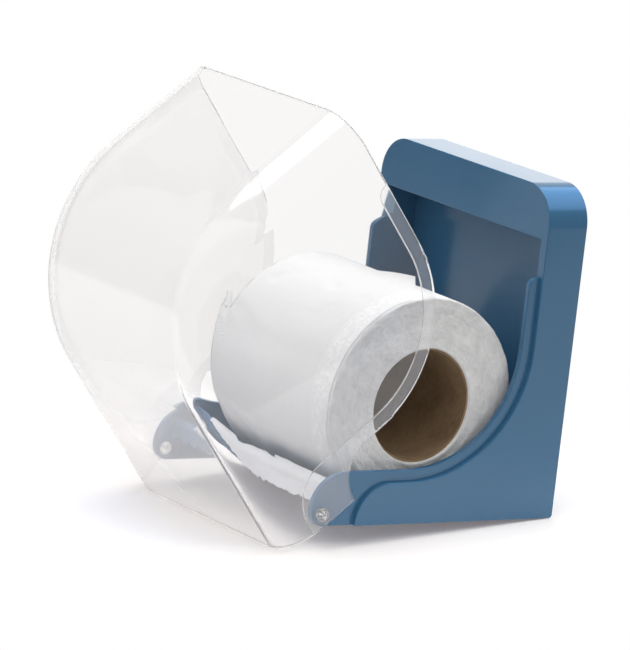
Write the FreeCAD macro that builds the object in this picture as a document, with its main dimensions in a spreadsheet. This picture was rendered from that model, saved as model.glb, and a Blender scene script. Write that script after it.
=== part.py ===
import FreeCAD, Part
import Sketcher
import math
import os

# A covered holder for one toilet roll: a moulded housing that hangs on a wall or stands on its base,
# a clear cover that swings forward on two snap pins, and a roll that lies loose in the cradle floor.
# The frame's origin is the centre of the base. X runs across, +Y points at the wall and +Z is up.
# The cover is drawn shut and then swung open about its pins by cover_open_angle.

# Millimetres, and degrees where the name says angle.
SIZES = {
    # The roll, which the holder is built around, and its tube
    "roll_radius": 47.0,
    "roll_length": 95.0,
    "roll_edge_radius": 3.0,
    "core_radius": 24.8,
    "core_wall": 1.2,
    "core_gap": 0.1,
    # The room around the roll
    "roll_right_gap": 2.7,
    "roll_left_gap": 20.9,
    "roll_back_gap": 20.7,
    "roll_top_gap": 25.0,
    "roll_floor_gap": 0.4,
    "ramp_slack": 16.0,
    "front_room": 54.4,
    # The housing's outside
    "hood_depth": 20.3,
    "hood_drop": 22.6,
    "case_corner_radius": 17.0,
    "case_corner_wall": 4.5,
    "back_edge_radius": 1.6,
    "back_wall": 2.5,
    "top_wall": 2.5,
    "hood_wall": 2.5,
    # The side walls: an outer skin that ends at the step line, and a panel set back inside it
    "skin_wall": 2.2,
    "panel_wall": 2.5,
    "panel_band": 4.9,
    "step_height": 18.2,
    "step_bend_radius": 56.5,
    "step_run": 8.5,
    "step_foot": 0.9,
    "tongue_gap": 15.9,
    "tongue_radius": 4.0,
    "nose_radius": 16.0,
    # The cradle floor with its ramp, its lip and the tear edge under the lip
    "floor_wall": 2.0,
    "ramp_angle": 40.8,
    "lip_radius": 3.0,
    "lip_front_angle": 4.0,
    "lip_drop": 5.6,
    "tooth_pitch": 3.2,
    "tooth_depth": 1.8,
    "tooth_margin": 3.0,
    # The two screw holes in the back wall
    "screw_hole_radius": 2.6,
    "screw_spacing": 70.0,
    "screw_height": 60.0,
    # The hinge
    "hinge_setback": 5.4,
    "hinge_height": 5.3,
    "pin_radius": 2.6,
    "pin_running_clearance": 0.05,
    "pin_press": 0.02,
    "pin_head_rise": 0.8,
    "pin_head_thickness": 1.0,
    "pin_head_chamfer": 0.3,
    "pin_barb_rise": 0.4,
    "pin_barb_length": 1.2,
    "pin_end_taper": 0.5,
    "pin_end_play": 0.3,
    "pin_bore_radius": 0.6,
    "pin_slot_hub_wall": 0.6,
    "pin_slot_rim_wall": 0.6,
    "pin_slot_half_angle": 48.0,
    "pin_slot_depth": 3.0,
    # The cover
    "cover_open_angle": 38.5,
    "cover_wall": 2.5,
    "cover_flange_clearance": 0.5,
    "cover_gap": 0.75,
    "cover_lift": 0.5,
    "cover_bulge": 16.4,
    "cover_bend_radius": 70.0,
    "joggle_clearance": 1.5,
    # The free end of the roll's sheet
    "tail_thickness": 0.4,
    "tail_gap": 0.15,
    "tail_back_angle": 4.0,
    "tail_drop": 9.0,
    # How far a cutting shape runs past what it cuts, and how close counts as the same place
    "overrun": 3.0,
    "nearness": 0.01,
}


class Measure:
    """A number together with the sheet formula that gives it."""

    def __init__(self, value, formula):
        self.value = float(value)
        self.formula = formula

    def __add__(self, other):
        return Measure(self.value + other.value, f"({self.formula} + {other.formula})")

    def __sub__(self, other):
        return Measure(self.value - other.value, f"({self.formula} - {other.formula})")

    def __neg__(self):
        return Measure(-self.value, f"(-1 * {self.formula})")

    def __mul__(self, factor):
        factor = as_measure(factor)
        return Measure(self.value * factor.value, f"({self.formula} * {factor.formula})")

    def __truediv__(self, divisor):
        divisor = as_measure(divisor)
        return Measure(self.value / divisor.value, f"({self.formula} / {divisor.formula})")


def as_measure(number):
    """A plain ratio as a Measure; a Measure stays as it is."""
    if isinstance(number, Measure):
        return number
    return Measure(number, str(number))


def size(name):
    """The sheet cell of that name."""
    return Measure(SIZES[name], f"Sizes.{name}")


def sine(angle):
    return Measure(math.sin(math.radians(angle.value)), f"sin({angle.formula})")


def cosine(angle):
    return Measure(math.cos(math.radians(angle.value)), f"cos({angle.formula})")


document = FreeCAD.newDocument("roll_holder")


def fill_sheet():
    """Write every driving size into the spreadsheet, with its alias."""
    sheet = document.addObject("Spreadsheet::Sheet", "Sizes")
    for row, (name, value) in enumerate(SIZES.items(), start=1):
        sheet.set(f"A{row}", name)
        sheet.set(f"B{row}", str(value))
        sheet.setAlias(f"B{row}", name)
    document.recompute()


fill_sheet()


# Places that several pieces share

ZERO = Measure(0, "0")
overrun = size("overrun")

roll_radius = size("roll_radius")
roll_length = size("roll_length")
roll_height = size("floor_wall") + size("roll_floor_gap") + roll_radius
roll_reach = size("back_wall") + size("roll_back_gap") + roll_radius
ramp_radius = roll_radius + size("ramp_slack")

case_depth = roll_reach + size("front_room")
half_depth = case_depth / 2
panel_inner_x = (size("roll_left_gap") + roll_length + size("roll_right_gap")) / 2
panel_outer_x = panel_inner_x + size("panel_wall")
half_width = panel_outer_x + size("skin_wall")
case_width = half_width * 2
hood_bottom = roll_height + roll_radius + size("roll_top_gap")
case_top = hood_bottom + size("hood_drop")

panel_front = size("hood_depth") + size("panel_band")
panel_height = size("step_height") + size("panel_band")
panel_bend_radius = size("step_bend_radius") - size("panel_band")
heel_radius = panel_height - size("nose_radius")
cover_reach = case_depth + size("cover_bulge")
hinge_reach = case_depth - size("hinge_setback")


def ahead(distance):
    """The Y of a place that lies this far in front of the wall face."""
    return half_depth - distance


hinge_y = ahead(hinge_reach)


# Sketch and feature helpers

def new_body(name):
    body = document.addObject("PartDesign::Body", name)
    body.Label = name
    return body


def new_sketch(body, name, role, height=None):
    """A sketch on one of the body's own origin planes, or at a height above it."""
    sketch = body.newObject("Sketcher::SketchObject", name)
    plane = [feature for feature in body.Origin.OriginFeatures if feature.Role == role][0]
    sketch.AttachmentSupport = [(plane, "")]
    sketch.MapMode = "FlatFace"
    if height is not None:
        sketch.AttachmentOffset = FreeCAD.Placement(FreeCAD.Vector(0, 0, height.value), FreeCAD.Rotation())
        sketch.setExpression("AttachmentOffset.Base.z", height.formula)
    return sketch


def tie(sketch, *constraint, to):
    """Add a constraint whose value follows the measure."""
    number = sketch.addConstraint(Sketcher.Constraint(*constraint, to.value))
    sketch.setExpression(f"Constraints[{number}]", to.formula)


def plain_point(corner):
    return FreeCAD.Vector(corner[0].value, corner[1].value, 0)


def draw_arc(sketch, start, end, centre):
    """Add the arc under a half circle from start to end; true where it runs anticlockwise."""
    first = plain_point(start) - plain_point(centre)
    last = plain_point(end) - plain_point(centre)
    anticlockwise = first.cross(last).z > 0
    if not anticlockwise:
        first, last = last, first
    circle = Part.Circle(plain_point(centre), FreeCAD.Vector(0, 0, 1), first.Length)
    first_angle = math.atan2(first.y, first.x)
    last_angle = math.atan2(last.y, last.x)
    sketch.addGeometry(Part.ArcOfCircle(circle, first_angle, last_angle), False)
    return anticlockwise


def draw_loop(sketch, corners):
    """Close a loop through the corners and tie every corner and radius to the sheet.

    A corner is (across, up) where a straight line ends there, and
    (across, up, arc centre, arc radius) where an arc ends there.
    """
    first_number = sketch.GeometryCount
    starts = []
    for index, corner in enumerate(corners):
        previous = corners[index - 1]
        if len(corner) == 2:
            line = Part.LineSegment(plain_point(previous), plain_point(corner))
            sketch.addGeometry(line, False)
            starts.append(1)
            continue
        anticlockwise = draw_arc(sketch, previous, corner, corner[2])
        starts.append(1 if anticlockwise else 2)
        tie(sketch, "Radius", first_number + index, to=corner[3])
    for index, corner in enumerate(corners):
        previous = corners[index - 1]
        number = first_number + index
        before = first_number + (index - 1) % len(corners)
        before_end = 3 - starts[index - 1]
        sketch.addConstraint(Sketcher.Constraint("Coincident", before, before_end, number, starts[index]))
        tie(sketch, "DistanceX", -1, 1, number, starts[index], to=previous[0])
        tie(sketch, "DistanceY", -1, 1, number, starts[index], to=previous[1])


def draw_circle(sketch, centre, radius):
    """A circle whose centre and radius are tied to the sheet."""
    circle = Part.Circle(plain_point(centre), FreeCAD.Vector(0, 0, 1), radius.value)
    number = sketch.addGeometry(circle, False)
    tie(sketch, "Radius", number, to=radius)
    tie(sketch, "DistanceX", -1, 1, number, 3, to=centre[0])
    tie(sketch, "DistanceY", -1, 1, number, 3, to=centre[1])


def across_body(body, kind, sketch, width, name):
    """A Pad or Pocket of the sketch, half of the width to each side of its plane."""
    feature = body.newObject(kind, name)
    feature.Profile = sketch
    feature.SideType = "Symmetric"
    feature.setExpression("Length", width.formula)
    sketch.Visibility = False
    document.recompute()
    return feature


def near(value, measure):
    return abs(value - measure.value) < SIZES["nearness"]


def on_one_side(points):
    """True where an edge keeps to the left or to the right, and doesn't run across."""
    return all(point.x > 0 for point in points) or all(point.x < 0 for point in points)


def edge_names(shape, passes, across):
    """The names of the edges whose end points all pass the test and that do or don't run across."""
    names = []
    for number, edge in enumerate(shape.Edges, start=1):
        points = [vertex.Point for vertex in edge.Vertexes]
        if on_one_side(points) != across and all(passes(point) for point in points):
            names.append(f"Edge{number}")
    return names


def round_edges(body, base, radius, passes, name, across=False):
    """Fillet the base's edges whose end points pass the test."""
    fillet = body.newObject("PartDesign::Fillet", name)
    fillet.Base = (base, edge_names(base.Shape, passes, across))
    fillet.setExpression("Radius", radius.formula)
    document.recompute()
    return fillet


# The housing

def bend_centre_place():
    """The centre that the concave bends of the step line and of the panel share."""
    bend = size("step_bend_radius")
    return (ahead(size("hood_depth") + bend), size("step_height") + bend)


def step_corners(gap, foot):
    """The step line from under the hood down to its foot, moved forward and up by the gap."""
    bend_centre = bend_centre_place()
    bend_radius = size("step_bend_radius") - gap
    end_centre = (bend_centre[0] - size("step_run"), size("step_foot"))
    end_radius = size("step_height") - size("step_foot") + gap
    return [
        (bend_centre[0] + bend_radius, bend_centre[1]),
        (bend_centre[0], bend_centre[1] - bend_radius, bend_centre, bend_radius),
        (end_centre[0], end_centre[1] + end_radius),
        (end_centre[0] - end_radius, end_centre[1], end_centre, end_radius),
        (end_centre[0] - end_radius, foot),
    ]


def panel_corners(gap, foot):
    """The front outline of the set-back panel from below its tongue to the foot, moved out by the gap."""
    bend_centre = bend_centre_place()
    bend_radius = panel_bend_radius - gap
    nose_centre = (ahead(case_depth - size("nose_radius")), heel_radius)
    nose_radius = size("nose_radius") + gap
    return [
        (bend_centre[0] + bend_radius, bend_centre[1]),
        (bend_centre[0], bend_centre[1] - bend_radius, bend_centre, bend_radius),
        (nose_centre[0], nose_centre[1] + nose_radius),
        (nose_centre[0] - nose_radius, nose_centre[1], nose_centre, nose_radius),
        (nose_centre[0] - nose_radius, foot),
    ]


def tongue_corners(gap):
    """The rounded top of the panel's tongue, moved out by the gap."""
    top = hood_bottom - size("tongue_gap")
    centre = (ahead(panel_front - size("tongue_radius")), top - size("tongue_radius"))
    radius = size("tongue_radius") + gap
    return [
        (centre[0], centre[1] + radius),
        (centre[0] - radius, centre[1], centre, radius),
    ]


def cradle_corners():
    """The floor sheet: flat, then a ramp about the roll, the lip's crest and the tear flange."""
    ramp = size("ramp_angle")
    front = size("lip_front_angle")
    wall = size("floor_wall")
    ramp_centre = ramp_centre_place()
    outer_ramp = ramp_radius + wall
    lip_centre = lip_centre_place()
    inner_lip = size("lip_radius") - wall
    back = ahead(size("back_wall") / 2)
    top_lip = along(lip_centre, size("lip_radius"), ramp)
    low_lip = along(lip_centre, inner_lip, ramp)
    front_lip = facing(lip_centre, size("lip_radius"), front)
    under_lip = facing(lip_centre, inner_lip, front)
    tip = down_front(front_lip, size("lip_drop"))
    under_tip = down_front(under_lip, size("lip_drop"))
    return [
        (back, ZERO),
        (back, wall),
        (ramp_centre[0], wall),
        (*top_lip, ramp_centre, ramp_radius),
        (*front_lip, lip_centre, size("lip_radius")),
        tip,
        under_tip,
        under_lip,
        (*low_lip, lip_centre, inner_lip),
        (ramp_centre[0], ZERO, ramp_centre, outer_ramp),
    ]


def along(centre, radius, angle):
    """The place at the radius from the centre, up and back at the angle from upright."""
    return (centre[0] + sine(angle) * radius, centre[1] + cosine(angle) * radius)


def below(centre, radius, angle):
    """The place at the radius from the centre, down and forward at the angle from upright."""
    return (centre[0] - sine(angle) * radius, centre[1] - cosine(angle) * radius)


def facing(centre, radius, angle):
    """The place at the radius in front of the centre, raised by the angle."""
    return (centre[0] - cosine(angle) * radius, centre[1] + sine(angle) * radius)


def down_front(place, drop):
    """The place further down along the flange's slope."""
    front = size("lip_front_angle")
    return (place[0] - sine(front) * drop, place[1] - cosine(front) * drop)


def ramp_centre_place():
    """The centre of the ramp's bend, right above the place where the ramp leaves the flat floor."""
    return (ahead(roll_reach), size("floor_wall") + ramp_radius)


def lip_centre_place():
    """The centre of the lip's crest, which carries on from the ramp's end."""
    return below(ramp_centre_place(), ramp_radius + size("lip_radius"), size("ramp_angle"))


def cut_teeth(housing):
    """Notch the flange's lower edge, one notch per pitch across the opening."""
    lip_front = facing(lip_centre_place(), size("lip_radius"), size("lip_front_angle"))
    tip_y, tip_z = down_front(lip_front, size("lip_drop"))
    first_x = size("tooth_margin") - panel_inner_x
    sketch = new_sketch(housing, "tooth_sketch", "XZ_Plane", height=-tip_y + size("floor_wall"))
    draw_loop(sketch, [
        (first_x, tip_z - size("tooth_depth")),
        (first_x + size("tooth_pitch"), tip_z - size("tooth_depth")),
        (first_x + size("tooth_pitch") / 2, tip_z + size("tooth_depth")),
    ])
    notch = housing.newObject("PartDesign::Pocket", "tooth_notch")
    notch.Profile = sketch
    notch.setExpression("Length", (size("floor_wall") * 3).formula)
    document.recompute()
    room = (panel_inner_x - size("tooth_margin")) * 2
    count = int(room.value / SIZES["tooth_pitch"])
    row = housing.newObject("PartDesign::LinearPattern", "tooth_row")
    row.Originals = [notch]
    row.Direction = (sketch, ["H_Axis"])
    row.Occurrences = count
    row.setExpression("Length", (size("tooth_pitch") * (count - 1)).formula)
    housing.Tip = row
    document.recompute()
    return row


def hollow_out(housing):
    """Cut the room behind the hood with its rounded ceiling corners, then the open front below it."""
    corner = size("case_corner_radius") - size("case_corner_wall")
    ceiling = case_top - size("top_wall")
    hood_inside = ahead(size("hood_depth") - size("hood_wall"))
    right = (panel_inner_x - corner, ceiling - corner)
    left = (corner - panel_inner_x, ceiling - corner)
    room = new_sketch(housing, "room_sketch", "XZ_Plane", height=-hood_inside)
    draw_loop(room, [
        (panel_inner_x, -overrun),
        (panel_inner_x, right[1]),
        (right[0], ceiling, right, corner),
        (left[0], ceiling),
        (-panel_inner_x, left[1], left, corner),
        (-panel_inner_x, -overrun),
    ])
    pocket = housing.newObject("PartDesign::Pocket", "room_pocket")
    pocket.Profile = room
    pocket.setExpression("Length", (size("hood_depth") - size("hood_wall") - size("back_wall")).formula)
    document.recompute()

    front = new_sketch(housing, "front_sketch", "YZ_Plane")
    draw_loop(front, [
        (ahead(size("back_wall")), -overrun),
        (ahead(size("back_wall")), hood_bottom),
        (ahead(case_depth) - overrun, hood_bottom),
        (ahead(case_depth) - overrun, -overrun),
    ])
    across_body(housing, "PartDesign::Pocket", front, panel_inner_x * 2, "front_pocket")


def make_housing():
    housing = new_body("housing")

    skin = new_sketch(housing, "skin_sketch", "YZ_Plane")
    hood_front = ahead(size("hood_depth"))
    draw_loop(skin, [
        (half_depth, ZERO),
        (half_depth, case_top),
        (hood_front, case_top),
        *step_corners(ZERO, ZERO),
    ])
    skin_pad = across_body(housing, "PartDesign::Pad", skin, case_width, "skin_pad")

    def at_top_corner(point):
        return near(point.z, case_top) and near(abs(point.x), half_width)

    def at_back_foot(point):
        return near(point.z, ZERO) and near(point.y, half_depth)

    rounded = round_edges(housing, skin_pad, size("case_corner_radius"), at_top_corner, "case_corners")
    round_edges(housing, rounded, size("back_edge_radius"), at_back_foot, "back_edge", across=True)

    panel = new_sketch(housing, "panel_sketch", "YZ_Plane")
    panel_back = ahead(size("hood_depth") / 2)
    nose = panel_corners(ZERO, ZERO)[:-1]
    tongue = tongue_corners(ZERO)
    heel_centre = (ahead(case_depth) + heel_radius, heel_radius)
    draw_loop(panel, [
        (panel_back, ZERO),
        (panel_back, tongue[0][1]),
        *tongue,
        *nose,
        (heel_centre[0], ZERO, heel_centre, heel_radius),
    ])
    across_body(housing, "PartDesign::Pad", panel, panel_outer_x * 2, "panel_pad")

    hollow_out(housing)

    cradle = new_sketch(housing, "cradle_sketch", "YZ_Plane")
    draw_loop(cradle, cradle_corners())
    into_the_walls = (panel_inner_x + size("panel_wall") / 2) * 2
    across_body(housing, "PartDesign::Pad", cradle, into_the_walls, "cradle_pad")
    cut_teeth(housing)

    bores = new_sketch(housing, "hinge_bore_sketch", "YZ_Plane")
    draw_circle(bores, (hinge_y, size("hinge_height")), size("pin_radius") + size("pin_running_clearance"))
    across_body(housing, "PartDesign::Pocket", bores, case_width + overrun, "hinge_bores")

    screws = new_sketch(housing, "screw_hole_sketch", "XZ_Plane")
    for side in (-1, 1):
        place = (size("screw_spacing") * side / 2, size("screw_height"))
        draw_circle(screws, place, size("screw_hole_radius"))
    across_body(housing, "PartDesign::Pocket", screws, case_depth + overrun, "screw_holes")
    return housing


# The cover, drawn shut

def cover_outline(wall, back, foot):
    """The top, bend and front of the cover, set in by the wall, from its back end to its foot."""
    bend = size("cover_bend_radius")
    centre = (ahead(cover_reach - bend), case_top - bend)
    return [
        (back, foot),
        (back, case_top - wall),
        (centre[0], case_top - wall),
        (centre[0] - bend + wall, centre[1], centre, bend - wall),
        (centre[0] - bend + wall, foot),
    ]


def cover_block(name, width, corners, wall):
    """A block across the holder with its top and front edges rounded, the wall inside the outside."""
    body = new_body(name)
    sketch = new_sketch(body, f"{name}_sketch", "YZ_Plane")
    draw_loop(sketch, corners)
    pad = across_body(body, "PartDesign::Pad", sketch, width, f"{name}_pad")
    top = case_top - wall
    front = ahead(cover_reach - wall)

    def on_rounded_edge(point):
        return near(abs(point.x), width / 2) and (near(point.z, top) or near(point.y, front))

    round_edges(body, pad, size("case_corner_radius") - wall, on_rounded_edge, f"{name}_edges")
    return body


def make_cover():
    foot = size("cover_lift")
    rim = step_corners(size("cover_gap"), foot)
    outside = cover_outline(ZERO, rim[0][0], foot)
    shell = cover_block("cover_outside", case_width, [*outside[1:], *reversed_rim(rim)], ZERO)

    wall = size("cover_wall")
    behind = ahead(size("hood_depth") / 2)
    inside = cover_outline(wall, behind, -overrun)
    hollow = cover_block("cover_inside", (half_width - wall) * 2, inside, wall)

    joggle = new_body("cover_joggle")
    sketch = new_sketch(joggle, "cover_joggle_sketch", "YZ_Plane")
    gap = size("joggle_clearance")
    tongue = tongue_corners(gap)
    draw_loop(sketch, [
        (behind, -overrun),
        (behind, tongue[0][1]),
        *tongue,
        *panel_corners(gap, -overrun),
    ])
    flange_x = panel_outer_x + size("cover_flange_clearance")
    across_body(joggle, "PartDesign::Pad", sketch, flange_x * 2, "cover_joggle_pad")

    holes = new_body("cover_pin_holes")
    hole_sketch = new_sketch(holes, "cover_pin_hole_sketch", "YZ_Plane")
    draw_circle(hole_sketch, (hinge_y, size("hinge_height")), size("pin_radius") - size("pin_press"))
    across_body(holes, "PartDesign::Pad", hole_sketch, case_width + overrun, "cover_pin_hole_pad")

    cuts = document.addObject("Part::MultiFuse", "cover_cuts")
    cuts.Shapes = [hollow, joggle, holes]
    cover = document.addObject("Part::Cut", "cover")
    cover.Base = shell
    cover.Tool = cuts
    cover.Label = "cover"
    cover.setExpression("Placement", placed(ORIGIN, SWING, HINGE_PLACE))
    document.recompute()
    return cover


def reversed_rim(rim):
    """The rim's corners from the foot up, with each arc kept between the same two corners."""
    top, bend_end, end_start, end_foot, foot = rim
    return [
        foot,
        end_foot[:2],
        (end_start[0], end_start[1], end_foot[2], end_foot[3]),
        bend_end[:2],
        (top[0], top[1], bend_end[2], bend_end[3]),
    ]


def turn_about(axis, degrees):
    """Formula of a rotation about an axis, which is given as its X, Y and Z parts."""
    x, y, z = axis
    return f"create(<<rotation>>; create(<<vector>>; {x}; {y}; {z}); {degrees})"


def placed(place, rotation, centre):
    """Formula of a placement: a shift, and a rotation about a centre."""
    return f"create(<<placement>>; {place}; {rotation}; {centre})"


ORIGIN = "create(<<vector>>; 0; 0; 0)"
HINGE_PLACE = f"create(<<vector>>; 0; {hinge_y.formula}; {size('hinge_height').formula})"
SWING = turn_about((1, 0, 0), size("cover_open_angle").formula)


# The snap pins

def make_hinge_pin(name, side):
    """A slotted pin: head outside the cover's ear, shank through both walls, barb inside the housing.

    The side is 1 for the right and -1 for the left, where the pin is turned half a turn about upright.
    """
    pin = new_body(name)
    outline = new_sketch(pin, f"{name}_sketch", "XY_Plane")
    head_x = half_width + size("pin_head_thickness")
    barb_x = panel_inner_x - size("pin_end_play")
    end_x = barb_x - size("pin_barb_length")
    chamfer = size("pin_head_chamfer")
    shank = size("pin_radius")
    head = shank + size("pin_head_rise")
    bore = size("pin_bore_radius")
    draw_loop(outline, [
        (end_x, bore),
        (end_x, shank - size("pin_end_taper")),
        (barb_x, shank + size("pin_barb_rise")),
        (barb_x, shank),
        (half_width, shank),
        (half_width, head),
        (head_x - chamfer, head),
        (head_x, head - chamfer),
        (head_x, bore),
    ])
    turned = pin.newObject("PartDesign::Revolution", f"{name}_turned")
    turned.Profile = outline
    turned.ReferenceAxis = (outline, ["H_Axis"])
    document.recompute()

    slots = new_sketch(pin, f"{name}_slot_sketch", "YZ_Plane", height=head_x)
    inner = bore + size("pin_slot_hub_wall")
    outer = shank - size("pin_slot_rim_wall")
    angle = size("pin_slot_half_angle")
    centre = (ZERO, ZERO)
    for way in (-1, 1):
        reach_in = cosine(angle) * inner * way
        reach_out = cosine(angle) * outer * way
        draw_loop(slots, [
            (reach_out, -sine(angle) * outer),
            (reach_out, sine(angle) * outer, centre, outer),
            (reach_in, sine(angle) * inner),
            (reach_in, -sine(angle) * inner, centre, inner),
        ])
    cut = pin.newObject("PartDesign::Pocket", f"{name}_slots")
    cut.Profile = slots
    cut.setExpression("Length", size("pin_slot_depth").formula)
    document.recompute()
    facing_side = placed(ORIGIN, turn_about((0, 0, 1), 90 - 90 * side), ORIGIN)
    pin.setExpression("Placement", f"{placed(HINGE_PLACE, SWING, ORIGIN)} * {facing_side}")
    return pin


# The roll

def make_tube(name, outer_radius, inner_radius, length, edge_radius=None):
    """A tube on the roll's axis, with rounded outer edges where a radius is given."""
    tube = new_body(name)
    sketch = new_sketch(tube, f"{name}_sketch", "YZ_Plane")
    draw_circle(sketch, (ZERO, ZERO), outer_radius)
    draw_circle(sketch, (ZERO, ZERO), inner_radius)
    pad = across_body(tube, "PartDesign::Pad", sketch, length, f"{name}_pad")

    def on_outer_edge(point):
        return near(math.hypot(point.y, point.z), outer_radius)

    if edge_radius is not None:
        round_edges(tube, pad, edge_radius, on_outer_edge, f"{name}_edges")
    offset = panel_inner_x - size("roll_right_gap") - roll_length / 2
    tube.setExpression("Placement.Base.x", offset.formula)
    tube.setExpression("Placement.Base.y", ahead(roll_reach).formula)
    tube.setExpression("Placement.Base.z", roll_height.formula)
    document.recompute()
    return tube


def make_tail():
    """The free end of the sheet: up the ramp, over the lip and down in front of the flange."""
    tail = new_body("paper_tail")
    sketch = new_sketch(tail, "paper_tail_sketch", "YZ_Plane")
    front = size("lip_front_angle")
    end = size("ramp_angle")
    start = end - size("tail_back_angle")
    ramp_centre = ramp_centre_place()
    lip_centre = lip_centre_place()
    near_ramp = ramp_radius - size("tail_gap")
    far_ramp = near_ramp - size("tail_thickness")
    near_lip = size("lip_radius") + size("tail_gap")
    far_lip = near_lip + size("tail_thickness")
    near_front = facing(lip_centre, near_lip, front)
    far_front = facing(lip_centre, far_lip, front)
    drop = size("tail_drop")
    draw_loop(sketch, [
        below(ramp_centre, near_ramp, start),
        (*along(lip_centre, near_lip, end), ramp_centre, near_ramp),
        (*near_front, lip_centre, near_lip),
        down_front(near_front, drop),
        down_front(far_front, drop),
        far_front,
        (*along(lip_centre, far_lip, end), lip_centre, far_lip),
        (*below(ramp_centre, far_ramp, start), ramp_centre, far_ramp),
    ])
    across_body(tail, "PartDesign::Pad", sketch, roll_length, "paper_tail_pad")
    offset = panel_inner_x - size("roll_right_gap") - roll_length / 2
    tail.setExpression("Placement.Base.x", offset.formula)
    document.recompute()
    return tail


# Build, check and write

core_outside = size("core_radius")
core_inside = core_outside - size("core_wall")
roll_inside = core_outside + size("core_gap")
sub_parts = [
    make_housing(),
    make_cover(),
    make_hinge_pin("hinge_pin_right", 1),
    make_hinge_pin("hinge_pin_left", -1),
    make_tube("paper_roll", roll_radius, roll_inside, roll_length, size("roll_edge_radius")),
    make_tube("roll_core", core_outside, core_inside, roll_length),
    make_tail(),
]
document.recompute()

for thing in document.Objects:
    if "Invalid" in thing.State or "Error" in thing.State:
        raise RuntimeError(f"{thing.Label} failed: {thing.State}")

for sub_part in sub_parts:
    shape = sub_part.Shape
    if shape.isNull() or not shape.isValid() or not shape.Solids:
        raise RuntimeError(f"{sub_part.Label} has no valid solid")

os.makedirs("parts", exist_ok=True)
for sub_part in sub_parts:
    sub_part.Shape.exportStep(f"parts/{sub_part.Label}.step")
    print(sub_part.Label, len(sub_part.Shape.Solids), round(sub_part.Shape.Volume))
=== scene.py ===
import math

import bmesh
import bpy
from mathutils import Matrix, Vector, noise


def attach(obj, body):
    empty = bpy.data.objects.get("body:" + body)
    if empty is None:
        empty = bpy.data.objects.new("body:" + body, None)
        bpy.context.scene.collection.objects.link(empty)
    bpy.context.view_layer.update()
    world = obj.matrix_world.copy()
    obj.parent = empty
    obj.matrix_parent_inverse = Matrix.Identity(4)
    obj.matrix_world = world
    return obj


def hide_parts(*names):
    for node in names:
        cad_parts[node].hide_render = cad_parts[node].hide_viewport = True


# A covered holder for one household toilet roll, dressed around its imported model.
# Lengths are metres, written as millimetres times MM where they are small.

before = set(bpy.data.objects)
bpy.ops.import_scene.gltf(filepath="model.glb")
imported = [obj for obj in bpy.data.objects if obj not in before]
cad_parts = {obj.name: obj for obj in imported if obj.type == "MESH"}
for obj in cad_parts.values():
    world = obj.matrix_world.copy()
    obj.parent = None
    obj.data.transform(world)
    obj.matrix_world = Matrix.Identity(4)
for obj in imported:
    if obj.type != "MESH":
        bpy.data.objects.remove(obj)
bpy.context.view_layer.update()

MM = 0.001
WHITE = (1.0, 1.0, 1.0, 1.0)

# The roll and its tube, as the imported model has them
ROLL_AXIS_Y = -7.9 * MM
ROLL_AXIS_Z = 49.4 * MM
ROLL_RADIUS = 47.0 * MM
ROLL_BORE = 24.9 * MM
ROLL_LEFT = -38.4 * MM
ROLL_RIGHT = 56.6 * MM
TUBE_RADIUS = 24.8 * MM

# The ramp and the lip that the torn sheet lies on
RAMP_RADIUS = 63.0 * MM
RAMP_CENTRE_Z = 65.0 * MM
RAMP_ANGLE = math.radians(40.8)
LIP_RADIUS = 3.0 * MM
LIP_FRONT_ANGLE = math.radians(4.0)

# The hinge and the open cover's side walls
HINGE_Y = -56.9 * MM
HINGE_Z = 5.3 * MM
COVER_OPEN = math.radians(38.5)
COVER_INSIDE = 61.5 * MM
TONGUE_INSIDE = 62.3 * MM

# The housing's rounded lower back edge, which the holder leans back on
HOUSING_BACK = 62.3 * MM
BACK_EDGE_RADIUS = 1.6 * MM


# Shader nodes

class Value:
    """A number that changes over a surface. Sums with it add Math nodes."""

    def __init__(self, finish, socket):
        self.finish = finish
        self.socket = socket

    def math(self, operation, *terms, clamp=False):
        inputs = dict(enumerate(terms))
        return self.finish.node("ShaderNodeMath", inputs, operation=operation, use_clamp=clamp)

    def __add__(self, other):
        return self.math("ADD", self, other)

    def __radd__(self, other):
        return self.math("ADD", other, self)

    def __sub__(self, other):
        return self.math("SUBTRACT", self, other)

    def __rsub__(self, other):
        return self.math("SUBTRACT", other, self)

    def __mul__(self, other):
        return self.math("MULTIPLY", self, other)

    def __rmul__(self, other):
        return self.math("MULTIPLY", other, self)

    def __truediv__(self, other):
        return self.math("DIVIDE", self, other)

    def __pow__(self, other):
        return self.math("POWER", self, other)

    def clamped(self):
        """The value, held between 0 and 1."""
        return self.math("ADD", self, 0.0, clamp=True)

    def waves(self):
        """A sine that swings once for each whole step of the value."""
        return self.math("SINE", self * (2 * math.pi))

    def off_whole(self):
        """How far the value is from the nearest whole number, from 0 to a half."""
        return self.math("PINGPONG", self, 0.5)

    def above(self, low, high):
        """0 under low, 1 over high and smooth between them."""
        inputs = {"Value": self, "From Min": low, "From Max": high}
        return self.finish.node("ShaderNodeMapRange", inputs, interpolation_type="SMOOTHSTEP")


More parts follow.
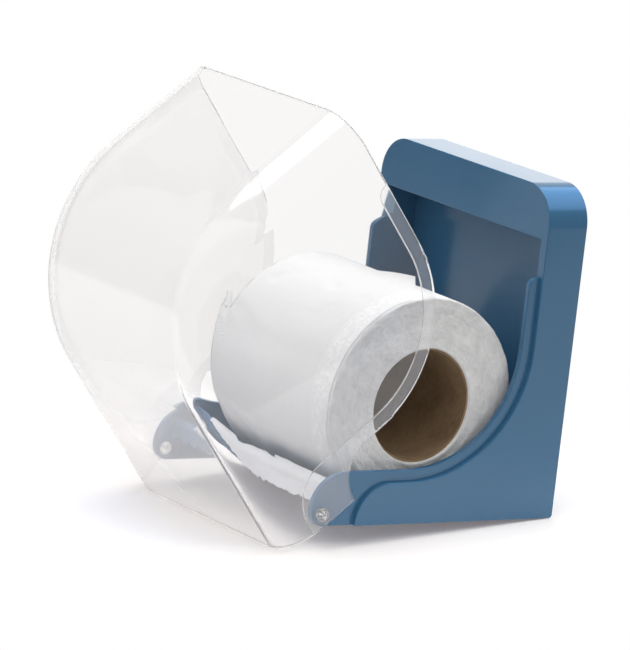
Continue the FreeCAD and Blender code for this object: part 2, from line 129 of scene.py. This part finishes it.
class Finish:
    """A node tree, of a material or of the world, and what adds its nodes."""

    def __init__(self, owner):
        owner.use_nodes = True
        self.owner = owner
        self.tree = owner.node_tree
        self.tree.nodes.clear()

    def node(self, kind, inputs=(), output=0, **settings):
        """Add a node: its settings first, then the values or links of its sockets."""
        node = self.tree.nodes.new(kind)
        for setting, value in settings.items():
            setattr(node, setting, value)
        for name, value in dict(inputs).items():
            if isinstance(value, Value):
                self.tree.links.new(value.socket, node.inputs[name])
            else:
                node.inputs[name].default_value = value
        return Value(self, node.outputs[output])

    def place(self):
        """Object coordinates, which are metres in the row's frame."""
        return self.node("ShaderNodeTexCoord", output="Object")

    def wrapped(self):
        """The flat map of a piece that is wound round the roll's axis, in metres."""
        return self.node("ShaderNodeUVMap", uv_map="wrap")

    def part_of(self, vector, axis):
        return self.node("ShaderNodeSeparateXYZ", {0: vector}, output=axis)

    def stretched(self, vector, scale):
        return self.node("ShaderNodeMapping", {"Vector": vector, "Scale": scale})

    def noise(self, vector, scale, detail=3.0, roughness=0.5, distortion=0.0):
        inputs = {
            "Vector": vector,
            "Scale": scale,
            "Detail": detail,
            "Roughness": roughness,
            "Distortion": distortion,
        }
        return self.node("ShaderNodeTexNoise", inputs)

    def colour_mix(self, factor, first, second):
        """Mix two colours. A Mix node's colour sockets are found by their numbers."""
        inputs = {0: factor, 6: first, 7: second}
        return self.node("ShaderNodeMix", inputs, output=2, data_type="RGBA")

    def bump(self, height, distance, strength=1.0):
        inputs = {"Height": height, "Distance": distance, "Strength": strength}
        return self.node("ShaderNodeBump", inputs)

    def mixed(self, factor, first, second):
        return self.node("ShaderNodeMixShader", {0: factor, 1: first, 2: second})

    def light_path(self, question):
        return self.node("ShaderNodeLightPath", output=question)

    def surface(self, shader):
        """Show the shader, and give back the material or world that it belongs to."""
        kind = "ShaderNodeOutputMaterial"
        if isinstance(self.owner, bpy.types.World):
            kind = "ShaderNodeOutputWorld"
        output = self.tree.nodes.new(kind)
        self.tree.links.new(shader.socket, output.inputs["Surface"])
        return self.owner


def new_finish(name):
    return Finish(bpy.data.materials.new(name))


# Finishes

CLEAR_HAZE = (0.86, 0.845, 0.83, 1)
SATIN_HAZE = (0.92, 0.96, 1.0, 1)

# The pattern of the roll's paper, with the pebbled band's soft left and right edges
EMBOSS_PITCH = 1.15 * MM
EMBOSS_SLANT = 0.8
BAND_LEFT_EDGE = (40.5 * MM, 43.0 * MM)
BAND_RIGHT_EDGE = (51.5 * MM, 53.5 * MM)

# How far along the tube its seam climbs in one turn, and half its width as a share of a turn
SEAM_CLIMB = 68.0 * MM
SEAM_HALF_WIDTH = 0.006


def blue_plastic():
    """Glossy moulded plastic with a faint orange peel and slight handling marks."""
    finish = new_finish("blue_plastic")
    place = finish.place()
    cloud = finish.noise(place, 14.0, 2.0)
    peel = finish.noise(place, 900.0, 2.0)
    marks = finish.noise(finish.stretched(place, (1.0, 1.0, 6.0)), 60.0, 5.0, 0.6)
    return finish.surface(finish.node("ShaderNodeBsdfPrincipled", {
        "Base Color": finish.colour_mix(cloud, (0.043, 0.140, 0.258, 1), (0.052, 0.158, 0.288, 1)),
        "Roughness": 0.12 + 0.10 * marks,
        "IOR": 1.5,
        "Normal": finish.bump(peel, 0.012 * MM, 0.5),
    }))


def clear_plastic(name, haze_colour, haze_low, haze_high):
    """Clear moulded plastic: it casts almost no shadow, and a haze grows at grazing angles."""
    finish = new_finish(name)
    place = finish.place()
    ripple = finish.noise(place, 22.0, 1.0)
    smudge = finish.noise(place, 45.0, 4.0, 0.6)
    glass = finish.node("ShaderNodeBsdfPrincipled", {
        "Base Color": (0.990, 0.980, 0.974, 1),
        "Roughness": 0.01 + 0.03 * smudge,
        "IOR": 1.49,
        "Transmission Weight": 1.0,
        "Normal": finish.bump(ripple, 0.05 * MM, 0.5),
    })
    milk = finish.node("ShaderNodeBsdfDiffuse", {"Color": haze_colour})
    grazing = finish.node("ShaderNodeLayerWeight", {"Blend": 0.5}, output="Facing")
    haze = haze_low + (haze_high - haze_low) * grazing ** 3.5
    hazy = finish.mixed(haze, glass, milk)
    see_through = finish.node("ShaderNodeBsdfTransparent", {"Color": (0.972, 0.970, 0.965, 1)})
    return finish.surface(finish.mixed(finish.light_path("Is Shadow Ray"), hazy, see_through))


def wound_tissue():
    """The roll's outer sheet: fine slanting embossing, and a pebbled band near the right end whose
    raised pebbles carry a painted highlight.
    """
    finish = new_finish("wound_tissue")
    flat = finish.wrapped()
    along = finish.part_of(flat, "X")
    around = finish.part_of(flat, "Y")
    drift = finish.noise(flat, 60.0, 2.0)
    slant = (along * EMBOSS_SLANT + around) / EMBOSS_PITCH + drift * 1.5
    counter = (along * EMBOSS_SLANT - around) / EMBOSS_PITCH + drift * 1.5
    patches = finish.noise(flat, 40.0).above(0.40, 0.62)
    emboss = slant.waves() * 0.6 + counter.waves() * 0.4 * patches
    band = along.above(*BAND_LEFT_EDGE) * (1.0 - along.above(*BAND_RIGHT_EDGE))
    pebbles_and_highlight = finish.noise(flat, 420.0, 2.0, 0.5, 0.6)
    fibres = finish.noise(flat, 2200.0, 4.0, 0.65)
    height = emboss * (1.0 - band) * 0.5 + band * (pebbles_and_highlight - 0.5) * 3.5 + fibres * 0.6
    shade = finish.noise(flat, 25.0)
    colour = finish.colour_mix(shade, (0.86, 0.865, 0.87, 1), (0.90, 0.90, 0.90, 1))
    # The pebbles' raised tops are painted whiter than the paper: a painted highlight.
    colour = finish.colour_mix(band * pebbles_and_highlight.above(0.45, 0.60), colour, (0.96, 0.96, 0.96, 1))
    return finish.surface(finish.node("ShaderNodeBsdfPrincipled", {
        "Base Color": colour,
        "Roughness": 0.95,
        "Specular IOR Level": 0.2,
        "Sheen Weight": 0.15,
        "Normal": finish.bump(height, 0.16 * MM),
    }))


def cut_tissue():
    """The roll's cut ends: rough layers that run round the tube, greyer than the sheet, with
    painted shade in their dents.
    """
    finish = new_finish("cut_tissue")
    layers = finish.noise(finish.stretched(finish.wrapped(), (1.0, 0.12, 1.0)), 900.0, 5.0, 0.7)
    place = finish.place()
    clumps = finish.noise(place, 160.0, 6.0, 0.7, 0.8)
    fibres = finish.noise(place, 1500.0, 4.0, 0.7)
    # The grey follows the same layers and clumps as the bumps, so the dents are painted darker:
    # painted shade.
    shade = (layers * 0.4 + clumps * 0.6).above(0.3, 0.7)
    height = layers * 0.8 + clumps * 1.2 + fibres * 0.7
    return finish.surface(finish.node("ShaderNodeBsdfPrincipled", {
        "Base Color": finish.colour_mix(shade, (0.74, 0.74, 0.745, 1), (0.94, 0.94, 0.935, 1)),
        "Roughness": 1.0,
        "Specular IOR Level": 0.1,
        "Normal": finish.bump(height, 0.8 * MM),
    }))


def sheet_tissue():
    """The torn end of the sheet: soft fibres and faint creases, with painted shade: a greyer, bluer
    white than the roll's, darker in the creases.
    """
    finish = new_finish("sheet_tissue")
    place = finish.place()
    fibres = finish.noise(place, 1800.0, 4.0, 0.7)
    # Painted shade: the same paper as the roll, painted greyer and bluer, and darker down in the
    # creases.
    creases_and_shade = finish.noise(place, 260.0, 4.0, 0.6, 0.8)
    return finish.surface(finish.node("ShaderNodeBsdfPrincipled", {
        "Base Color": finish.colour_mix(creases_and_shade, (0.76, 0.77, 0.80, 1), (0.83, 0.83, 0.85, 1)),
        "Roughness": 1.0,
        "Specular IOR Level": 0.15,
        "Sheen Weight": 0.1,
        "Normal": finish.bump(fibres * 0.5 + creases_and_shade, 0.12 * MM, 0.8),
    }))


def grey_card():
    """Spiral-wound board with a fine grain, and a darker seam that climbs round the tube."""
    finish = new_finish("grey_card")
    flat = finish.wrapped()
    along = finish.part_of(flat, "X")
    around = finish.part_of(flat, "Y")
    turn = along / SEAM_CLIMB + around / (2 * math.pi * TUBE_RADIUS)
    seam = 1.0 - turn.off_whole().above(0.0, SEAM_HALF_WIDTH)
    grain = finish.noise(finish.stretched(flat, (1.0, 0.25, 1.0)), 1300.0, 5.0, 0.7)
    blots = finish.noise(flat, 70.0, 4.0, 0.6)
    tone = (grain * 0.55 + blots * 0.45).above(0.30, 0.70)
    colour = finish.colour_mix(tone, (0.190, 0.125, 0.065, 1), (0.340, 0.235, 0.140, 1))
    colour = finish.colour_mix(seam * 0.6, colour, (0.07, 0.045, 0.022, 1))
    return finish.surface(finish.node("ShaderNodeBsdfPrincipled", {
        "Base Color": colour,
        "Roughness": 0.85,
        "Specular IOR Level": 0.25,
        "Normal": finish.bump(grain - seam * 1.5, 0.06 * MM, 0.8),
    }))


# What every piece goes through

def link(piece):
    bpy.context.scene.collection.objects.link(piece)
    return piece


def finished(shape, name, finishes):
    """Make a smooth-shaded piece of a shape, with its finishes in the order of their numbers."""
    mesh = bpy.data.meshes.new(name)
    shape.to_mesh(mesh)
    shape.free()
    for finish in finishes:
        mesh.materials.append(finish)
    mesh.polygons.foreach_set("use_smooth", [True] * len(mesh.polygons))
    return link(bpy.data.objects.new(name, mesh))


def carried(piece, body, node):
    """Let a body carry the piece, which stands for a CAD node."""
    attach(piece, body)
    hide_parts(node)


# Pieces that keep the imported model's shape

SHARP = math.radians(30)


def round_edges(shape, edge, wanted):
    """Round the wanted corners of a closed shape."""
    corners = [
        corner for corner in shape.edges
        if corner.is_manifold and corner.calc_face_angle() > SHARP and wanted(corner)
    ]
    bmesh.ops.bevel(
        shape, geom=corners, affect="EDGES", offset_type="OFFSET", offset=edge,
        segments=4, profile=0.5, material=-1,
    )


def joined_copy(node, gap):
    """The triangles of a CAD node, with the vertices joined and the flat faces made whole."""
    shape = bmesh.new()
    shape.from_mesh(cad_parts[node].data)
    bmesh.ops.remove_doubles(shape, verts=shape.verts, dist=gap)
    bmesh.ops.dissolve_limit(
        shape, angle_limit=math.radians(0.3), verts=shape.verts, edges=shape.edges
    )
    return shape


def moulding(shape, name, finishes, node, body):
    """Show a rounded copy in place of its CAD node, with flat faces shaded flat."""
    piece = finished(shape, name, finishes)
    mesh = piece.data
    if "custom_normal" in mesh.attributes:
        mesh.attributes.remove(mesh.attributes["custom_normal"])
    mesh.set_sharp_from_angle(angle=SHARP)
    weighted = piece.modifiers.new("flat_faces", "WEIGHTED_NORMAL")
    weighted.keep_sharp = True
    weighted.weight = 100
    carried(piece, body, node)


def make_housing():
    shape = joined_copy("housing", gap=0.25 * MM)
    round_edges(shape, 0.45 * MM, lambda corner: corner.is_convex)
    moulding(shape, "housing_moulding", [blue_plastic()], "housing", "housing")


# The ways that the open cover's two end faces point
FOOT_FACING = Vector((0, math.sin(COVER_OPEN), -math.cos(COVER_OPEN)))
BACK_FACING = Vector((0, math.cos(COVER_OPEN), math.sin(COVER_OPEN)))


def is_fine(corner):
    """True of the cover's small corners: of pin holes, end faces and the step in its side walls."""
    middle = (corner.verts[0].co + corner.verts[1].co) / 2
    near_pin = math.hypot(middle.y - HINGE_Y, middle.z - HINGE_Z) < 4 * MM
    on_end = any(
        face.normal.dot(facing) > 0.999
        for face in corner.link_faces
        for facing in (FOOT_FACING, BACK_FACING)
    )
    on_step = not corner.is_convex or abs(abs(middle.x) - COVER_INSIDE) < 0.3 * MM
    return near_pin or on_end or on_step


def make_cover():
    """The clear cover. Its side walls' thin band, the tongue, is satin inside."""
    shape = joined_copy("cover", gap=0.2 * MM)
    round_edges(shape, 0.22 * MM, is_fine)
    round_edges(shape, 0.75 * MM, lambda corner: not is_fine(corner))
    for face in shape.faces:
        on_tongue = abs(abs(face.calc_center_median().x) - TONGUE_INSIDE) < 0.1 * MM
        face.material_index = 1 if on_tongue and abs(face.normal.x) > 0.9 else 0
    finishes = [
        clear_plastic("clear_plastic", CLEAR_HAZE, haze_low=0.02, haze_high=0.85),
        clear_plastic("satin_tongue", SATIN_HAZE, haze_low=0.16, haze_high=0.85),
    ]
    moulding(shape, "cover_moulding", finishes, "cover", "cover")


def make_pins():
    finish = clear_plastic("pin_plastic", CLEAR_HAZE, haze_low=0.08, haze_high=0.50)
    for node, name in (("hinge_pin_right", "snap_pin_right"), ("hinge_pin_left", "snap_pin_left")):
        shape = joined_copy(node, gap=0.05 * MM)
        round_edges(shape, 0.10 * MM, lambda corner: corner.is_convex)
        moulding(shape, name, [finish], node, "cover")


# The roll and its tube

ROLL_EDGE = 1.6 * MM
EDGE_STEPS = 8
# Shallow lines round the roll beside the pebbled band: where, and how deep in millimetres
ROLL_LINES = ((33.5 * MM, 0.10), (39.8 * MM, 0.22))
ROLL_LINE_WIDTH = 0.7 * MM
# Each end, and the way from it into the roll
ROLL_ENDS = ((ROLL_RIGHT, -1), (ROLL_LEFT, 1))
# The visible tube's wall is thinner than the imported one's, and it ends inside the roll
TUBE_WALL = 0.8 * MM
TUBE_SET_BACK = 1.6 * MM


def steps_between(first, last, count):
    """Even steps from first, without last."""
    return [first + (last - first) * i / count for i in range(count)]


def run_along(radius, first, last, count):
    return [(x, radius) for x in steps_between(first, last, count)]


def run_out(x, first, last, count):
    return [(x, radius) for radius in steps_between(first, last, count)]


def rounded_edge(x, radius, start):
    """A quarter turn of the roll's edge round (x, radius), from the angle start."""
    return [
        (x + ROLL_EDGE * math.cos(turn), radius + ROLL_EDGE * math.sin(turn))
        for turn in steps_between(start, start + math.pi / 2, EDGE_STEPS)
    ]


def spun(profile, steps):
    """A closed profile of (x, radius) places, turned once round the roll's axis."""
    shape = bmesh.new()
    ring = [shape.verts.new((x, ROLL_AXIS_Y, ROLL_AXIS_Z + radius)) for x, radius in profile]
    edges = [shape.edges.new((ring[i - 1], ring[i])) for i in range(len(ring))]
    bmesh.ops.spin(
        shape, geom=ring + edges, cent=(0, ROLL_AXIS_Y, ROLL_AXIS_Z), axis=(1, 0, 0),
        angle=2 * math.pi, steps=steps, use_merge=True,
    )
    bmesh.ops.recalc_face_normals(shape, faces=shape.faces)
    return shape


def polar(place):
    """The radius and the angle of a place round the roll's axis."""
    y = place.y - ROLL_AXIS_Y
    z = place.z - ROLL_AXIS_Z
    return math.hypot(y, z), math.atan2(z, y)


def set_polar(vertex, x, radius, angle):
    vertex.co = (
        x,
        ROLL_AXIS_Y + radius * math.cos(angle),
        ROLL_AXIS_Z + radius * math.sin(angle),
    )


def noise_round(angle, spread, further):
    """Noise without a seam round the roll's axis. More spread gives smaller forms."""
    return noise.noise(Vector((math.cos(angle) * spread, math.sin(angle) * spread, further)))


def is_end_face(face):
    return abs(face.normal.x) > 0.7


def wrap_map(shape, unrolled_radius):
    """A UV map in metres: along the axis, or out from it on the ends, and round it."""
    layer = shape.loops.layers.uv.new("wrap")
    for face in shape.faces:
        middle_angle = polar(face.calc_center_median())[1]
        for loop in face.loops:
            radius, angle = polar(loop.vert.co)
            while angle - middle_angle > math.pi:
                angle -= 2 * math.pi
            while angle - middle_angle < -math.pi:
                angle += 2 * math.pi
            first = radius if is_end_face(face) else loop.vert.co.x
            loop[layer].uv = (first, angle * unrolled_radius)


def roll_bulge(x, angle):
    """How far the soft roll's outside stands out at a place. It dips where this is under 0."""
    bulge = noise_round(angle, 1.3, x * 18.2) * 0.30 - 0.3
    crease = noise_round(angle, 5, x * 60)
    bulge -= max(0.0, crease - 0.25) * 0.9
    for line, depth in ROLL_LINES:
        beside = (x - line) / ROLL_LINE_WIDTH
        bulge -= depth * math.exp(-beside * beside)
    return bulge * MM


def roll_end_depth(place, radius, angle):
    """How deep the uneven turns of a cut end lie at a place."""
    turns = noise_round(angle, 1.4, radius * 420)
    dents = noise.noise(place * 130)
    fine = noise.noise(place * 600)
    return (0.9 + turns * 0.4 + dents * 0.7 + fine * 0.3) * MM


def make_roll():
    outer = ROLL_RADIUS - ROLL_EDGE
    shape = spun(
        run_along(ROLL_BORE, ROLL_LEFT, ROLL_RIGHT, 12)
        + run_out(ROLL_RIGHT, ROLL_BORE, outer, 26)
        + rounded_edge(ROLL_RIGHT - ROLL_EDGE, outer, 0)
        + run_along(ROLL_RADIUS, ROLL_RIGHT - ROLL_EDGE, ROLL_LEFT + ROLL_EDGE, 120)
        + rounded_edge(ROLL_LEFT + ROLL_EDGE, outer, math.pi / 2)
        + run_out(ROLL_LEFT, outer, ROLL_BORE, 26),
        steps=300,
    )
    wrap_map(shape, ROLL_RADIUS)
    for face in shape.faces:
        face.material_index = 1 if is_end_face(face) else 0
    for vertex in shape.verts:
        radius, angle = polar(vertex.co)
        x = vertex.co.x
        share = (radius - ROLL_BORE) / (ROLL_RADIUS - ROLL_BORE)
        inward = 0.0
        for end, way in ROLL_ENDS:
            if abs(x - end) < ROLL_EDGE * 1.01:
                inward = way * roll_end_depth(vertex.co, radius, angle)
        # The bore stays round, and its ends move least
        x_moved = x + inward * min(1.0, share * 4 + 0.3)
        set_polar(vertex, x_moved, radius + roll_bulge(x, angle) * share, angle)
    piece = finished(shape, "tissue_roll", [wound_tissue(), cut_tissue()])
    carried(piece, "roll", "paper_roll")


def make_tube():
    inner = TUBE_RADIUS - TUBE_WALL
    shape = spun(
        run_along(inner, ROLL_LEFT, ROLL_RIGHT, 40)
        + run_out(ROLL_RIGHT, inner, TUBE_RADIUS, 3)
        + run_along(TUBE_RADIUS, ROLL_RIGHT, ROLL_LEFT, 20)
        + run_out(ROLL_LEFT, TUBE_RADIUS, inner, 3),
        steps=160,
    )
    wrap_map(shape, TUBE_RADIUS)
    for vertex in shape.verts:
        radius, angle = polar(vertex.co)
        x = vertex.co.x
        if radius < TUBE_RADIUS - 0.1 * MM:
            radius += 0.15 * MM * noise_round(angle, 2, x * 30)
        for end, way in ROLL_ENDS:
            if abs(x - end) < 0.01 * MM:
                x += way * (TUBE_SET_BACK + 0.15 * MM * noise.noise(vertex.co * 400))
        set_polar(vertex, x, radius, angle)
    piece = finished(shape, "card_tube", [grey_card()])
    piece.data.set_sharp_from_angle(angle=math.radians(40))
    carried(piece, "roll", "roll_core")


# The torn end of the sheet

SHEET_LEFT = -38.1 * MM
SHEET_RIGHT = 56.3 * MM
SHEET_THICKNESS = 0.22 * MM
SHEET_LIFT = 0.35 * MM
SHEET_COLUMNS = 260
SHEET_ROWS = 48
# Its left end stands up off the lip and leans forward, over this length
FREE_END = 22 * MM
FREE_END_MOVE = Vector((-0.6 * MM, -2.2 * MM, 2.0 * MM))

LIP_CENTRE_Y = ROLL_AXIS_Y - (RAMP_RADIUS + LIP_RADIUS) * math.sin(RAMP_ANGLE)
LIP_CENTRE_Z = RAMP_CENTRE_Z - (RAMP_RADIUS + LIP_RADIUS) * math.cos(RAMP_ANGLE)
CREST_TURN = RAMP_ANGLE + math.pi / 2 - LIP_FRONT_ANGLE


def sheet_place(distance):
    """The place and the outward direction at a distance along the sheet, from the crest's back.

    It lies on the ramp where the distance is negative, turns over the lip and hangs in front.
    """
    radius = LIP_RADIUS + SHEET_LIFT
    over = CREST_TURN * radius
    if distance < 0:
        arc = RAMP_RADIUS - SHEET_LIFT
        angle = RAMP_ANGLE + distance / arc
        out = Vector((0, math.sin(angle), math.cos(angle)))
        place = Vector((0, ROLL_AXIS_Y, RAMP_CENTRE_Z)) - out * arc
        return place, out
    centre = Vector((0, LIP_CENTRE_Y, LIP_CENTRE_Z))
    angle = RAMP_ANGLE - min(distance, over) / radius
    out = Vector((0, math.sin(angle), math.cos(angle)))
    place = centre + out * radius
    if distance > over:
        down = Vector((0, -math.sin(LIP_FRONT_ANGLE), -math.cos(LIP_FRONT_ANGLE)))
        place += down * (distance - over)
    return place, out


def tear(x, seed, coarse, fine):
    """How far a torn edge strays at x: long sweeps with small ragged teeth on them."""
    sweep = noise.noise(Vector((x * 45, seed, 0.0))) * coarse
    teeth = noise.noise(Vector((x * 330, seed, 4.0))) * fine
    nicks = noise.noise(Vector((x * 900, seed, 9.0))) * fine * 0.6
    return (sweep + teeth + nicks) * MM


def eased(value, low, high):
    """0 under low, 1 over high and smooth between them."""
    share = min(1.0, max(0.0, (value - low) / (high - low)))
    return share * share * (3 - 2 * share)


def sheet_ends(x):
    """Where the sheet starts and ends along its path at x. Its torn end slants up to the left."""
    start = 1.8 * MM + tear(x, seed=2.0, coarse=1.8, fine=0.5)
    # One deep bite in the upper edge
    start += 2.4 * MM * math.exp(-((x + 11 * MM) / (6 * MM)) ** 2)
    slant = eased(x, -34 * MM, 6 * MM)
    end = (8.0 + 6.2 * slant) * MM + tear(x, seed=7.0, coarse=1.5, fine=0.9)
    # The left corners are torn off
    corner = 1 - eased(x, SHEET_LEFT, SHEET_LEFT + 9 * MM)
    start += corner * 0.8 * MM
    end -= corner * 1.4 * MM
    return start, end


def ragged_side(across, down):
    """How far a side edge, and the paper close to it, is drawn in."""
    drawn_in = 0.0
    for edge, way in ((0.0, 1), (1.0, -1)):
        close = max(0.0, 1 - abs(across - edge) * 30)
        tatter = noise.noise(Vector((down * 5, edge * 9, 3.0)))
        drawn_in += way * close * (0.6 + 0.5 * tatter) * MM
    return drawn_in


def sheet_wave(x, distance, down):
    """How far the sheet stands off its path. It waves most at its lower and upper edges."""
    lift = 0.5 + 0.5 * noise.noise(Vector((x * 90, distance * 110, 1.0)))
    wave = 0.5 + 0.5 * noise.noise(Vector((x * 28, distance * 30, 6.0)))
    hang = max(0.0, down - 0.55) / 0.45
    curl = max(0.0, 0.25 - down) / 0.25
    return (lift * 0.5 + wave * (0.3 + 0.9 * hang + 0.8 * curl)) * MM


def make_sheet():
    """The sheet, shaped from a grid. Across and down are shares of its width and of its path."""
    shape = bmesh.new()
    bmesh.ops.create_grid(shape, x_segments=SHEET_COLUMNS, y_segments=SHEET_ROWS, size=0.5)
    for vertex in shape.verts:
        across = vertex.co.x + 0.5
        down = vertex.co.y + 0.5
        x = SHEET_LEFT + (SHEET_RIGHT - SHEET_LEFT) * across
        start, end = sheet_ends(x)
        distance = start + (end - start) * down
        place, out = sheet_place(distance)
        vertex.co = place + out * sheet_wave(x, distance, down)
        vertex.co.x = x + ragged_side(across, down)
        vertex.co += FREE_END_MOVE * (1 - eased(x, SHEET_LEFT, SHEET_LEFT + FREE_END))
    bmesh.ops.recalc_face_normals(shape, faces=shape.faces)
    area = sum(face.calc_area() for face in shape.faces)
    piece = finished(shape, "torn_sheet", [sheet_tissue()])
    thickness = piece.modifiers.new("thickness", "SOLIDIFY")
    thickness.thickness = SHEET_THICKNESS
    thickness.offset = 1.0
    carried(piece, "housing", "paper_tail")


# The floor, the lights and the camera

# The holder leans back on its lower back edge and the open cover's foot, so the floor is tilted
FLOOR_TILT = math.radians(5.216)
FLOOR_GAP = 0.05 * MM

# The table card: its size, how it is turned to the camera, and where its glow fades out
TABLE_DEPTH = 2.0
TABLE_WIDTH = 2.8
TABLE_BACKWARD = 0.80
TABLE_TURN = math.radians(-34.5)
TABLE_FADE = (0.65, 1.3)

# The way that the camera looks
LOOK_X = -0.808
LOOK_Y = 0.557
LOOK_Z = -0.191


def stage_patch(name, size, matrix, finish):
    """A flat square of the stage, from its middle out to size, placed by a matrix."""
    shape = bmesh.new()
    bmesh.ops.create_grid(shape, x_segments=1, y_segments=1, size=size)
    bmesh.ops.transform(shape, matrix=matrix, verts=shape.verts)
    mesh = bpy.data.meshes.new(name)
    shape.to_mesh(mesh)
    shape.free()
    mesh.materials.append(finish)
    patch = link(bpy.data.objects.new(name, mesh))
    return patch


def distance_from(finish, middle, reach):
    """How far a place is from the middle in X and Y, where 1 is the reach."""
    place = finish.place()
    x = (finish.part_of(place, "X") - middle[0]) / reach[0]
    y = (finish.part_of(place, "Y") - middle[1]) / reach[1]
    return (x * x + y * y) ** 0.5


def make_floor():
    """A pale patch under the housing's back edge and the open cover, which fades out into white."""
    finish = new_finish("floor")
    away = distance_from(finish, middle=(0.01, -0.02), reach=(0.19, 0.22))
    paint = finish.node("ShaderNodeBsdfDiffuse", {"Color": (0.97, 0.965, 0.96, 1)})
    glow = finish.node("ShaderNodeEmission", {"Color": (1.0, 0.82, 0.74, 1), "Strength": 0.16})
    lit = finish.node("ShaderNodeAddShader", {0: paint, 1: glow})
    clear = finish.node("ShaderNodeBsdfTransparent")
    fading = finish.surface(finish.mixed(1.0 - away.above(0.62, 1.0), clear, lit))

    back_edge = Vector((0, HOUSING_BACK - BACK_EDGE_RADIUS, BACK_EDGE_RADIUS))
    up = Vector((0, -math.sin(FLOOR_TILT), math.cos(FLOOR_TILT)))
    touching = Matrix.Translation(back_edge - up * (BACK_EDGE_RADIUS + FLOOR_GAP))
    stage_patch("floor", 0.6, touching @ Matrix.Rotation(FLOOR_TILT, 4, "X"), fading)


def make_table():
    """The lit table top round the floor patch, which ends in front of the holder.

    Only gloss and the clear plastic show it.
    """
    finish = new_finish("table")
    away = distance_from(finish, middle=(0.0, 0.0), reach=(1.0, 1.0))
    glow = finish.node("ShaderNodeEmission", {"Color": WHITE, "Strength": 1.0})
    clear = finish.node("ShaderNodeBsdfTransparent")
    glowing = finish.surface(finish.mixed(away.above(*TABLE_FADE), glow, clear))

    # It lies a few millimetres under the floor
    table = stage_patch("table", 0.5, (
        Matrix.Translation((0, 0, -4 * MM))
        @ Matrix.Rotation(FLOOR_TILT, 4, "X")
        @ Matrix.Rotation(TABLE_TURN, 4, "Z")
        @ Matrix.Translation((-TABLE_BACKWARD, 0, -2 * MM))
        @ Matrix.Diagonal((TABLE_DEPTH, TABLE_WIDTH, 1.0, 1.0))
    ), glowing)
    table.visible_camera = False
    table.visible_diffuse = False
    table.visible_shadow = False


def make_world():
    """White behind the holder for the camera, a studio that darkens away from it, and a fill."""
    world = bpy.data.worlds.new("studio")
    bpy.context.scene.world = world
    finish = Finish(world)
    direction = finish.node("ShaderNodeTexCoord", output="Generated")
    across = finish.part_of(direction, "X")
    back = finish.part_of(direction, "Y")
    height = finish.part_of(direction, "Z")
    ahead = across * LOOK_X + back * LOOK_Y + height * LOOK_Z
    lit = ahead.above(0.30, 0.80)
    glossy = finish.light_path("Is Glossy Ray")
    through = finish.light_path("Is Transmission Ray")

    gloss = finish.colour_mix(lit, (0.11, 0.11, 0.12, 1), (1.0, 0.995, 0.99, 1))
    # The backdrop is lit brighter than white, as the gloss of the hood's top shows
    glare = ahead.above(0.84, 0.93) * (glossy - through).clamped()
    gloss = finish.colour_mix(glare, gloss, (1.62, 1.61, 1.60, 1))
    # What is seen through the clear cover is paler than what shows in its gloss
    seen_through = finish.colour_mix(lit, (0.62, 0.62, 0.625, 1), WHITE)
    studio = finish.colour_mix(through, gloss, seen_through)

    # Light that has already been scattered by a surface comes from the even fill
    unscattered = 1.0 - finish.light_path("Diffuse Depth").above(0.4, 0.6)
    sharp = ((glossy + through) * unscattered).clamped()
    colour = finish.colour_mix(sharp, (0.49, 0.485, 0.48, 1), studio)
    colour = finish.colour_mix(finish.light_path("Is Camera Ray"), colour, WHITE)
    finish.surface(finish.node("ShaderNodeBackground", {"Color": colour, "Strength": 1.0}))


def make_camera():
    """The photograph's camera: where it stands, its three directions and its long lens."""
    camera = bpy.data.cameras.new("camera")
    camera.sensor_width = 36.0
    camera.lens = 306.66
    holder = link(bpy.data.objects.new("camera", camera))
    place = Matrix.Translation((1.914056, -1.345796, 0.524117))
    right = Vector((0.545635, 0.830601, 0.111290))
    up = Vector((-0.220582, 0.014231, 0.975265))
    back = Vector((0.808472, -0.556687, 0.190980))
    holder.matrix_world = place @ Matrix((right, up, back)).transposed().to_4x4()
    bpy.context.scene.camera = holder


def add_lamp(name, place, target, size, power, colour=(1, 1, 1)):
    light = bpy.data.lights.new(name, "AREA")
    light.shape = "RECTANGLE"
    light.size, light.size_y = size
    light.energy = power
    light.color = colour
    lamp = link(bpy.data.objects.new(name, light))
    lamp.location = place
    lamp.rotation_euler = (Vector(target) - Vector(place)).to_track_quat("-Z", "Y").to_euler()
    return lamp


def keep_out_of_gloss(*lamps):
    for lamp in lamps:
        lamp.visible_glossy = False
        lamp.visible_transmission = False


def make_lamps():
    add_lamp(
        "top_softbox", place=(-0.2, -0.15, 1.15), target=(-0.08, -0.06, 0.1),
        size=(1.15, 0.8), power=8.3,
    )
    # It shows in the gloss of the housing's rounded corner, and lights nothing matt
    blue_card = add_lamp(
        "blue_card", place=(0.15, 0.65, 0.95), target=(0.05, 0.0, 0.14),
        size=(1.4, 0.5), power=10.0, colour=(0.26, 0.5, 0.95),
    )
    blue_card.visible_diffuse = False
    keep_out_of_gloss(
        add_lamp(
            "back_softbox", place=(0.3, 0.9, 1.0), target=(0.04, 0.0, 0.1),
            size=(0.6, 0.4), power=4.5,
        ),
        add_lamp(
            "side_softbox", place=(1.0, -0.1, 1.1), target=(0.0, -0.02, 0.06),
            size=(0.6, 0.6), power=3.0,
        ),
        add_lamp(
            "left_softbox", place=(-1.1, -0.9, 0.6), target=(0.0, -0.02, 0.06),
            size=(0.8, 0.8), power=0.9,
        ),
    )


make_housing()
make_cover()
make_pins()
make_roll()
make_tube()
make_sheet()
make_floor()
make_table()
make_world()
make_camera()
make_lamps()

bpy.context.scene.view_settings.view_transform = "Standard"
